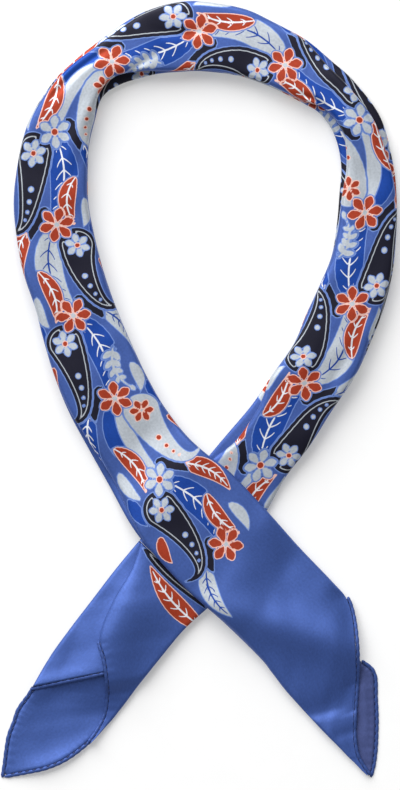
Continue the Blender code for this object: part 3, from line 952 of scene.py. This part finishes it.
def veined_leaf(body, vein, length, half_width, bend, pairs=6):
    """A long leaf with a midrib and side veins. Every other vein is drawn the other way, so
    that the signed distance from the nearest one is smooth between them."""
    spine = leaf_spine(length, bend)
    radii = leaf_radii(half_width)
    midrib = (vein + "_line", spine[:-1], stem_radii(*MIDRIB, len(spine) - 1))
    parts = [(body, spine, radii), midrib]
    for pair in range(pairs):
        share = VEINS_START + VEINS_SPREAD * pair / (pairs - 1)
        root, along = on_spine(spine, share)
        reach = float(np.interp(share * (len(spine) - 1), range(len(spine)), radii))
        turned = slice(None, None, -1 if pair % 2 else 1)
        for side in (1, -1):
            bends = [root + heading(along + side * turn) * reach * out for turn, out in VEIN_BENDS]
            points = bezier((root, *bends), len(VEIN_WIDTHS))
            parts.append((vein + "_vein", points[turned], VEIN_WIDTHS[turned]))
    return parts


def split_leaf(upper, lower, length, half_width, bend):
    """A leaf with a half of each colour, parted along its midrib."""
    spine = leaf_spine(length, bend)
    radii = leaf_radii(half_width) / 2
    right = right_side(directions(spine)) * (radii + SPLIT_GAP)[:, None]
    return [(upper, spine - right, radii), (lower, spine + right, radii)]


def leaflet_spray(ink, length, bend, pairs, largest):
    """A curved stem with pairs of small leaves that shrink towards its tip."""
    spine = leaf_spine(length, bend)
    parts = [(ink, spine, stem_radii(*SPRAY_STEM))]
    for pair in range(pairs):
        share = SPRAY_START + SPRAY_SPREAD * pair / pairs
        root, along = on_spine(spine, share)
        size = largest * (1 - SPRAY_SHRINK * share)
        radii = leaf_radii(size * LEAFLET_WIDTH, LEAFLET_POINTS, LEAFLET_FULLNESS)
        for side in (SPRAY_TURN, -SPRAY_TURN):
            out = heading(along + side)
            leaflet = np.linspace(root + out * LEAFLET_START, root + out * size, LEAFLET_POINTS)
            parts.append((ink, leaflet, radii))
    end, along = on_spine(spine, 1)
    length, radius = SPRAY_END_LEAF
    leaflet = np.linspace(end, end + heading(along) * length, LEAFLET_POINTS)
    return parts + [(ink, leaflet, leaf_radii(radius, LEAFLET_POINTS))]


def blossom(radius, ink, heart):
    """A flower of round petals."""
    out, widths = np.array(PETAL).T * radius
    petals = [heading(360 * k / PETALS) * out[:, None] for k in range(PETALS)]
    strokes = [(ink, spine, widths) for spine in petals]
    return strokes + [dot(heart, (0, 0), radius * BLOSSOM_HEART)]


def paisley(length, half_width, body, flower, heart):
    """A drop with a curled tip, a flower in its bulb and dots up to its tip."""
    spine = bezier(np.array(PAISLEY_HANDLES) * (length, PAISLEY_CURL))
    t = np.linspace(0, 1, STROKE_POINTS)
    radii = PAISLEY_TIP + (half_width - PAISLEY_TIP) * (1 - t) ** PAISLEY_TAPER
    parts = [(body, spine, radii)] + blossom(half_width * PAISLEY_FLOWER, flower, heart)
    dots = [dot(flower, on_spine(spine, share)[0], radius) for share, radius in PAISLEY_DOTS]
    return parts + dots


def small_leaf(ink, length, half_width, bend=0.25):
    spine = bezier(((0, 0), (length / 2, length * bend), (length, 0)), SMALL_LEAF_POINTS)
    return [(ink, spine, leaf_radii(half_width, SMALL_LEAF_POINTS))]


def vine():
    """A half wave of the stem that winds along the band, and a fine line beside it."""
    x = np.linspace(-CELL_LENGTH / 2, CELL_LENGTH / 2, STROKE_POINTS)
    stem = np.stack((x, -VINE_SWING * np.cos(math.pi * x / CELL_LENGTH)), axis=1)
    radii = np.ones(STROKE_POINTS)
    line = ("white_line", stem + VINE_LINE_AWAY, VINE_LINE_RADIUS * radii)
    return [("dull", stem, VINE_RADIUS * radii), line]


MOTIFS = {
    "vine": vine(),
    "navy_paisley": paisley(47, 10, "navy", "silver", "red"),
    "silver_paisley": paisley(46, 9.6, "silver", "red", "cobalt"),
    "cobalt_leaf": veined_leaf("cobalt", "white", 52, 7.4, -12),
    "silver_leaf": veined_leaf("silver", "deep", 52, 7.2, -12),
    "split_leaf": split_leaf("silver", "cobalt", 52, 7.6, -12),
    "outer_cobalt": veined_leaf("cobalt", "white", 34, 4.8, 7),
    "outer_silver": veined_leaf("silver", "deep", 34, 4.6, 7),
    "outer_red": veined_leaf("red", "white", 34, 4.8, 7),
    "red_leaf": veined_leaf("red", "white", 28, 4.4, 5, 4),
    "red_blossom": blossom(8.6, "red", "silver"),
    "silver_blossom": blossom(8, "silver", "red"),
    "silver_spray": leaflet_spray("silver", 24, 5, 4, 7),
    "navy_small": small_leaf("dark", 20, 3.6),
    "silver_small": small_leaf("silver", 18, 3),
    "cobalt_small": small_leaf("cobalt", 19, 3.4),
    "red_small": small_leaf("red", 15, 2.8),
    "tail_navy": small_leaf("navy", 48, 3.8, 0.03),
    "tail_red": veined_leaf("red", "white", 46, 5.2, 5),
}
# What the cells take in turn.
SERIES = {
    "paisley": ("navy_paisley", "silver_paisley", "navy_paisley", "navy_paisley"),
    "inner": ("cobalt_leaf", "split_leaf", "cobalt_leaf", "silver_leaf"),
    "outer": ("outer_silver", "outer_cobalt", "outer_red"),
    "blossom": ("red_blossom", "silver_blossom", "red_blossom", "red_blossom"),
    "accent": ("silver_spray", "red_leaf", "red_leaf", "red_leaf"),
}
PRINT_CELL = (
    # kind, along, across, degrees, mirrored: each is laid over the ones before
    ("vine", 0, 0, 0, False),
    ("outer", -26, -11, -22, True),
    ("cobalt_small", -27, 21, -6, False),
    ("inner", -26, 2.5, -1, False),
    ("navy_small", 16, 1, 38, False),
    ("paisley", -12, 11, 4, False),
    ("silver_small", 10, -18, 6, True),
    ("accent", -2, -13, 2, False),
    ("red_small", -2, 21, 20, False),
    ("blossom", 25, -2, 20, False),
)
FLAP_MOTIFS = (
    # kind, x, y, degrees, mirrored
    ("tail_red", 3, -130, 131, False),
    ("tail_navy", -31.5, -85.5, -44, False),
)


def motif_strokes(kind, x, y, degrees, is_mirrored):
    """A motif's strokes, put in place."""
    cos, sin = heading(degrees)
    flip = (1, -1 if is_mirrored else 1)
    turn = ((cos, sin), (-sin, cos))
    return [(ink, (spine * flip) @ turn + (x, y), radii) for ink, spine, radii in MOTIFS[kind]]


def band_motifs(band_length):
    """Every motif of the band, as a list of its strokes. The print starts one cell along,
    where the band comes out from under the crossing. Every other cell is turned over."""
    motifs = []
    for kind, along, across, degrees, is_mirrored in PRINT_CELL:
        choices = SERIES.get(kind, (kind,))
        for cell in range(1, math.ceil(band_length / CELL_LENGTH) + 1):
            turn = -1 if cell % 2 else 1
            place = (along + cell * CELL_LENGTH, turn * across, turn * degrees)
            motif = choices[cell % len(choices)]
            motifs.append(motif_strokes(motif, *place, is_mirrored != (turn < 0)))
    return motifs


def measure_stroke(spine, radii, at):
    """For each point the distance off a stroke's spine, positive on its left, the stroke's
    radius there, and the depth inside the stroke."""
    deepest = np.full(len(at), -np.inf)
    offset = np.zeros(len(at))
    reach = np.zeros(len(at))
    for k, inside, past, distance, side in segments(spine, at):
        radius = radii[k] + inside * (radii[k + 1] - radii[k])
        beyond = np.maximum(-past * (k == 0), past * (k == len(spine) - 2))
        across = side * np.sqrt(np.maximum(distance ** 2 - beyond ** 2, 0))
        closer = radius - distance > deepest
        deepest = np.where(closer, radius - distance, deepest)
        offset = np.where(closer, across, offset)
        reach = np.where(closer, radius - beyond, reach)
    return offset, reach, deepest


def print_fields(in_cloth, motifs):
    """The inks at each point: how deep in a filled shape it lies, or how far off a fine line.
    Each motif covers what was printed before it."""
    at = in_cloth.reshape(-1, 2)
    fields = {ink: np.full(len(at), BARE) for ink in FILL_INKS}
    for ink in LINE_INKS:
        fields[ink + "_offset"] = np.full(len(at), LINE_REACH)
        fields[ink + "_radius"] = np.full(len(at), -1.0)
    for motif in motifs:
        spines = np.concatenate([spine for _, spine, _ in motif])
        near = points_near(at, spines, max(radii.max() for _, _, radii in motif) + INK_MARGIN)
        if len(near) == 0:
            continue
        strokes = [(ink, *measure_stroke(spine, radii, at[near])) for ink, spine, radii in motif]
        covered = np.max([depth for ink, _, _, depth in strokes if ink in FILL_INKS], axis=0)
        for key in (*FILL_INKS, *(ink + "_radius" for ink in LINE_INKS)):
            fields[key][near] = np.minimum(fields[key][near], -(covered + KNOCK_OUT))
        for ink, offset, radius, depth in strokes:
            if ink in FILL_INKS:
                fields[ink][near] = np.maximum(fields[ink][near], depth)
                continue
            offsets, line_radii = fields[ink + "_offset"], fields[ink + "_radius"]
            better = radius - np.abs(offset) > line_radii[near] - np.abs(offsets[near])
            better &= np.abs(offset) < LINE_REACH
            offsets[near[better]] = offset[better]
            line_radii[near[better]] = radius[better]
    return fields


def keep_clear_of_border(motifs, in_cloth, x):
    """Drop the motifs that would cross the plain border of the square on the over strand."""
    at = in_cloth.reshape(-1, 2)
    beyond = at[(x.ravel() > PRINT_END_X) & (at[:, 0] > PRINT_END_FROM)]

    def is_clear(motif):
        ends = np.concatenate([spine[[0, -1]] for _, spine, _ in motif])
        return min(np.hypot(*(beyond - end).T).min() for end in ends) > BORDER_CLEARANCE

    return [motif for motif in motifs if is_clear(motif)]


# ---- Silk ----

TWILL_PITCH = 0.55
# The height of the ribs that cross the twill's own, as a share of theirs.
CROSS_RIB = 0.25
SLUB_LENGTH = 26
SLUB_WIDTH = 1.1
SLUB_TURN = math.radians(45)
SLUB_HEIGHT = 0.5
SLUB_DETAIL = 2
GRAIN_SIZE = 1.3
GRAIN_DETAIL = 1
# The cloth's tone where yarn and grain are darkest, and how much each of them adds.
DARKEST_SHADE = 0.74
SLUB_SHADE = 0.16
GRAIN_SHADE = 0.40
BUMP = {"Strength": 0.35, "Distance": 0.05 * MM}
SILK = {
    "Roughness": 0.52,
    # The share of the light that the dyed fibres send back as a sheen of their own colour.
    "Metallic": 0.5,
    "Specular IOR Level": 0.45,
    "Sheen Weight": 0.04,
    "Sheen Roughness": 0.35,
    "Sheen Tint": (0.75, 0.82, 1, 1),
}
INK_SOFTNESS = 0.12
THREAD_ROUGHNESS = 0.4
THREAD_TWIST = 800


def opaque(colour):
    return (*colour, 1)


def feed(tree, node, inputs):
    """Set a node's inputs, by name or number, or link them where they are given a socket."""
    for key, source in inputs.items():
        socket = node.inputs[key]
        if isinstance(source, bpy.types.NodeSocket):
            tree.links.new(source, socket)
        else:
            socket.default_value = source


def add_node(tree, kind, inputs, **settings):
    """A new shader node."""
    node = tree.nodes.new(kind)
    for key, value in settings.items():
        setattr(node, key, value)
    feed(tree, node, inputs)
    return node


def maths(tree, operation, *sources):
    """A maths node's result."""
    inputs = dict(enumerate(sources))
    return add_node(tree, "ShaderNodeMath", inputs, operation=operation).outputs[0]


def mixed(tree, factor, first, second, blend="MIX"):
    """A colour mixed from two."""
    inputs = {0: factor, 6: first, 7: second}
    node = add_node(tree, "ShaderNodeMix", inputs, data_type="RGBA", blend_type=blend)
    return node.outputs[2]


def noise(tree, inputs):
    return add_node(tree, "ShaderNodeTexNoise", inputs).outputs["Fac"]


def new_material(name):
    """A material, its node tree and its shader."""
    material = bpy.data.materials.new(name)
    material.use_nodes = True
    return material, material.node_tree, material.node_tree.nodes["Principled BSDF"]


def weave_height(tree, uv):
    """Height of the twill ribs, from 0 to 1."""
    separate = add_node(tree, "ShaderNodeSeparateXYZ", {0: uv})
    along, across = separate.outputs[0], separate.outputs[1]
    turn = 2 * math.pi / (TWILL_PITCH * MM)
    diagonal = maths(tree, "MULTIPLY", maths(tree, "ADD", along, across), turn * math.sqrt(0.5))
    rib = maths(tree, "SINE", diagonal)
    other_way = maths(tree, "MULTIPLY", maths(tree, "SUBTRACT", along, across), turn)
    cross = maths(tree, "SINE", other_way)
    height = maths(tree, "MULTIPLY_ADD", cross, CROSS_RIB, rib)
    return maths(tree, "MULTIPLY_ADD", height, 0.5 / (1 + CROSS_RIB), 0.5)


def slubs(tree, uv):
    """Uneven yarn, from 0 to 1."""
    stretch = (1 / (SLUB_LENGTH * MM), 1 / (SLUB_WIDTH * MM), 1)
    inputs = {"Vector": uv, "Rotation": (0, 0, SLUB_TURN), "Scale": stretch}
    scaled = add_node(tree, "ShaderNodeMapping", inputs)
    return noise(tree, {"Vector": scaled.outputs[0], "Scale": 1, "Detail": SLUB_DETAIL})


def fine_grain(tree, uv):
    """The grain of the crossing yarns, from 0 to 1."""
    return noise(tree, {"Vector": uv, "Scale": 1 / (GRAIN_SIZE * MM), "Detail": GRAIN_DETAIL})


def attribute_value(tree, name):
    return add_node(tree, "ShaderNodeAttribute", {}, attribute_name=name).outputs["Fac"]


def ink_cover(tree, field, start):
    """How far an ink covers the cloth: 0 outside its shape and 1 inside."""
    if field in LINE_INKS:
        reach = attribute_value(tree, field + "_radius")
        offset = maths(tree, "ABSOLUTE", attribute_value(tree, field + "_offset"))
        depth = maths(tree, "SUBTRACT", reach, offset)
    else:
        depth = attribute_value(tree, field)
    inputs = {"Value": depth, "From Min": start - INK_SOFTNESS, "From Max": start + INK_SOFTNESS}
    return add_node(tree, "ShaderNodeMapRange", inputs).outputs[0]


def silk_material(name, ground, coats=()):
    """Silk twill. Each coat is an ink's field, the depth where it starts and its colour."""
    silk, tree, shader = new_material(name)
    uv = add_node(tree, "ShaderNodeUVMap", {}, uv_map="cloth").outputs[0]
    colour = opaque(ground)
    for field, start, ink in coats:
        colour = mixed(tree, ink_cover(tree, field, start), colour, opaque(ink))
    yarn = slubs(tree, uv)
    shade = maths(tree, "MULTIPLY_ADD", yarn, SLUB_SHADE, DARKEST_SHADE)
    shade = maths(tree, "MULTIPLY_ADD", fine_grain(tree, uv), GRAIN_SHADE, shade)
    grey = add_node(tree, "ShaderNodeCombineColor", {0: shade, 1: shade, 2: shade})
    colour = mixed(tree, 1, colour, grey.outputs[0], "MULTIPLY")
    height = maths(tree, "MULTIPLY_ADD", yarn, SLUB_HEIGHT, weave_height(tree, uv))
    bump = add_node(tree, "ShaderNodeBump", {**BUMP, "Height": height})
    feed(tree, shader, {**SILK, "Base Color": colour, "Normal": bump.outputs[0]})
    return silk


def thread_material():
    """Sewing silk."""
    thread, tree, shader = new_material("sewing_silk")
    inputs = {"Scale": THREAD_TWIST}
    twist = add_node(tree, "ShaderNodeTexWave", inputs, bands_direction="DIAGONAL")
    tone = mixed(tree, twist.outputs["Fac"], opaque(THREAD), opaque(THREAD_SHADE))
    feed(tree, shader, {"Base Color": tone, "Roughness": THREAD_ROUGHNESS})
    return thread


# ---- Stage ----

PHOTO_MIDDLE = (-0.27, -3.08)
PHOTO_HEIGHT = 426.6
CAMERA_HEIGHT = 3000
CAMERA_REACH = 20
PRINT_PLANE = 9
SENSOR = 36
# The light comes from beyond the top of the loop and from its left, in metres and degrees.
KEY_DISTANCE = 4
KEY_ELEVATION = 38
KEY_FROM_LEFT = 25
KEY_SIZE = 4.2
KEY_POWER = 330
PURE_WHITE = (1, 1, 1, 1)
SKY = {"Color": PURE_WHITE, "Strength": 0.28}
FLOOR_HALF = 6000
FLOOR_TONES = (0.60, 0.62)
PAPER_GRAIN = 900
PAPER = {
    "Roughness": 0.95,
    "Specular IOR Level": 0.1,
    "Emission Color": PURE_WHITE,
    "Emission Strength": 0.30,
}


def add_camera():
    """Straight down, with the photograph's frame at the height of the printed top."""
    lens = bpy.data.cameras.new("camera")
    lens.sensor_fit = "VERTICAL"
    lens.sensor_height = SENSOR
    lens.lens = SENSOR * (CAMERA_HEIGHT - PRINT_PLANE) / PHOTO_HEIGHT
    lens.clip_end = CAMERA_REACH
    camera = add_object("camera", lens)
    camera.location = [value * MM for value in (*PHOTO_MIDDLE, CAMERA_HEIGHT)]
    bpy.context.scene.camera = camera


def add_key_light():
    """A large square soft light that faces the loop."""
    light = bpy.data.lights.new("key_light", "AREA")
    light.shape = "SQUARE"
    light.size = KEY_SIZE
    light.energy = KEY_POWER
    lamp = add_object("key_light", light)
    rise = math.radians(KEY_ELEVATION)
    turn = math.radians(KEY_FROM_LEFT)
    toward = (-math.sin(turn) * math.cos(rise), math.cos(turn) * math.cos(rise), math.sin(rise))
    lamp.location = [KEY_DISTANCE * part for part in toward]
    lamp.rotation_euler = (-lamp.location).to_track_quat("-Z", "Y").to_euler()


def add_floor():
    """A pale paper floor that glows a little."""
    paper, tree, shader = new_material("floor_paper")
    tones = [opaque((tone,) * 3) for tone in FLOOR_TONES]
    colour = mixed(tree, noise(tree, {"Scale": PAPER_GRAIN}), *tones)
    feed(tree, shader, {**PAPER, "Base Color": colour})
    corners = np.array(((-1, -1, 0), (1, -1, 0), (1, 1, 0), (-1, 1, 0))) * FLOOR_HALF
    add_mesh("studio_floor", corners, [(0, 1, 2, 3)], paper)


def add_stage():
    """Floor, light and camera."""
    add_floor()
    world = bpy.data.worlds.new("studio")
    world.use_nodes = True
    feed(world.node_tree, world.node_tree.nodes["Background"], SKY)
    bpy.context.scene.world = world
    add_key_light()
    bpy.context.scene.view_settings.view_transform = "Standard"
    add_camera()


# ---- Assembly ----

HEMS = (
    # node, edge of the cloth, run back, run on, underside, whether the cloth is on its left
    ("left_tail_hem_left", side_edge(LEFT_BASE, BASE_HEM_ROW, False),
     1.5, 2.2, base_bottom, True),
    ("left_tail_hem_bottom", side_edge(LEFT_BASE, BASE_BOTTOM_HEM_ROW, True),
     1, 1.2, base_bottom, False),
    ("left_flap_hem", end_edge(LEFT_FLAP, LEFT_FLAP_HEM_SHARE),
     1.4, 2, left_flap_bottom, True),
    ("right_flap_hem", side_edge(RIGHT_FLAP, RIGHT_FLAP_HEM_ROW, False),
     0, 0.6, right_flap_bottom, True),
    ("right_tail_front_hem", side_edge(BAND, TAIL_HEM_ROW, False),
     1, 0.8, front_layer_bottom, False),
    ("right_tail_back_hem", side_edge(RIGHT_BACK, BACK_HEM_ROW, True),
     3, 1.2, nothing, False),
)


def stands_for(piece, nodes):
    """The piece rides on the part's only body and takes the place of its solids."""
    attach(piece, "root")
    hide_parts(*nodes)


def add_band(front_hem, silk):
    """The loop and the upper layer of the right tail, as one wrapped cloth."""
    points, in_cloth = build_band_grid(front_hem)
    length = in_cloth[-1, 0, 0]
    motifs = keep_clear_of_border(band_motifs(length), in_cloth, points[:, :, 0])
    faces = grid_faces(*points.shape[:2], False).tolist()
    band = add_mesh("scarf_band", points, faces, silk, in_cloth, print_fields(in_cloth, motifs))
    round_section = run_length(points.swapaxes(0, 1))[-1]
    flat = (round_section.max() * MM, length * MM)
    return band, flat, round_section.mean() * length * MM * MM


def build():
    """Make every piece of the scarf, and its stage."""
    printed = silk_material("silk_twill_print", GROUND, INK_COATS)
    plain = silk_material("silk_twill_plain", GROUND)
    wrong_side = silk_material("silk_twill_wrong_side", WRONG_SIDE)
    # The rolls take the darker hem colour, which is painted shade.
    rolled = silk_material("silk_rolled_hem", SHADED_HEM_GROUND)
    thread = thread_material()

    lines = {}
    rolls = {}
    stitches = []
    for node, edge, run_back, run_on, bottom_of, cloth_is_left in HEMS:
        lines[node] = hem_line(edge, run_back, run_on)
        rolls[node] = add_roll(node + "_roll", lines[node], bottom_of, rolled)
        stands_for(rolls[node], (node,))
        stitches.extend(stitch_paths(lines[node], bottom_of, cloth_is_left))
    sewing = add_stitches("hem_stitches", stitches, thread)
    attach(sewing, "root")

    band, flat, area = add_band(lines["right_tail_front_hem"], printed)
    stands_for(band, ("loop", "right_tail_front"))

    flap_print = [motif_strokes(*motif) for motif in FLAP_MOTIFS]
    layers = (
        # node, table, bottom, swell, hems, material, motifs, slot
        ("right_tail_back", RIGHT_BACK, nothing, nothing,
         ("right_tail_back_hem",), wrong_side, (), "silk_wrong_side"),
        ("left_tail_base", LEFT_BASE, base_bottom, nothing,
         ("left_tail_hem_left", "left_tail_hem_bottom"), plain, (), "silk_print"),
        ("left_tail_left_flap", LEFT_FLAP, left_flap_bottom, left_flap_swell,
         ("left_flap_hem",), plain, (), "silk_print"),
        ("left_tail_right_flap", RIGHT_FLAP, right_flap_bottom, right_flap_swell,
         ("right_flap_hem",), printed, flap_print, "silk_print"),
    )
    for node, table, bottom_of, swell_of, hems, material, motifs, slot in layers:
        hem_lines = [lines[hem] for hem in hems]
        layer = add_layer(node, table, bottom_of, swell_of, hem_lines, material, motifs)
        stands_for(layer, (node,))
    add_stage()


build()
